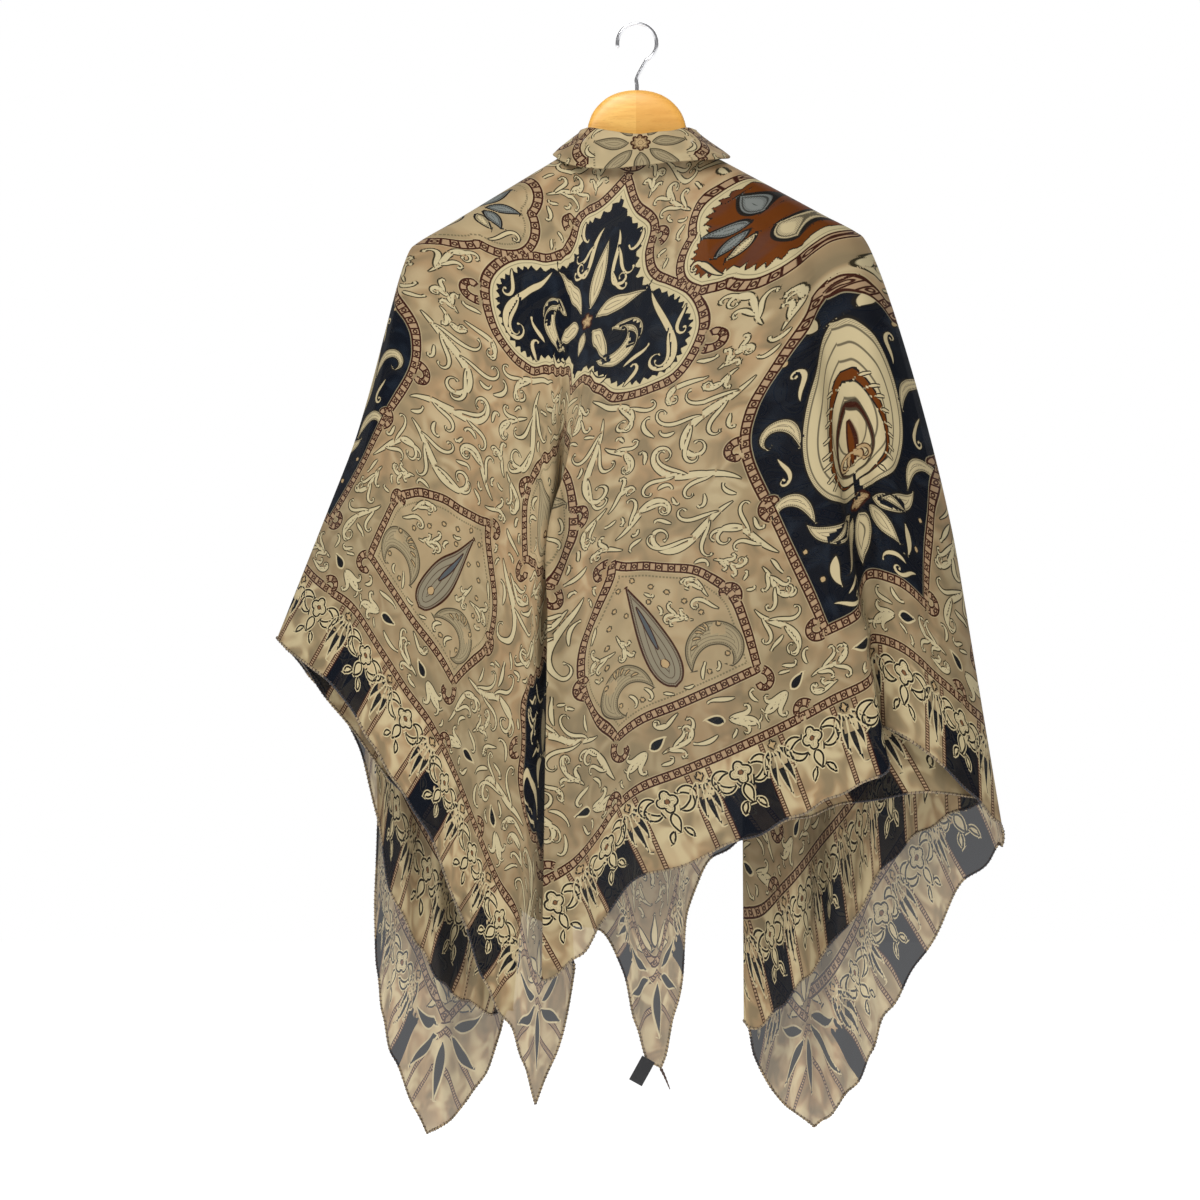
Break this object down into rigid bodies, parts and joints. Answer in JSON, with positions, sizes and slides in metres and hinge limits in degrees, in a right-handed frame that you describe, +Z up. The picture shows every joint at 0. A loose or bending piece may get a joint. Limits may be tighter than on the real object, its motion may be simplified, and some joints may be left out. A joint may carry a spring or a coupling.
{
  "type": "evening stole on a wooden coat hanger",
  "caption": "Sheer printed silk square folded corner to corner and hung round a wooden hanger like a shawl, with a turned-down collar edge, pointed hems and hanging corner tails.",
  "frame": {"origin": "the top of the inside of the hook, where it rests on the rail", "axes": "+Z up, -Y the way the stole's back faces, +Y the way its open front faces, +X to the right of someone who looks at the back"},
  "size_m": [0.6964, 0.1334, 1.0735],
  "materials": {
    "silk": "sheer printed chiffon",
    "tab": "woven, matt",
    "wood": "lacquered beech",
    "wire": "bright"
  },
  "bodies": {
    "root": {"back_outer": "silk", "back_inner": "silk", "left_front_outer": "silk", "left_front_inner": "silk", "right_front_outer": "silk", "right_front_inner": "silk", "collar": "silk", "label": "tab", "hanger": "wood", "hook": "wire"}
  },
  "joints": []
}
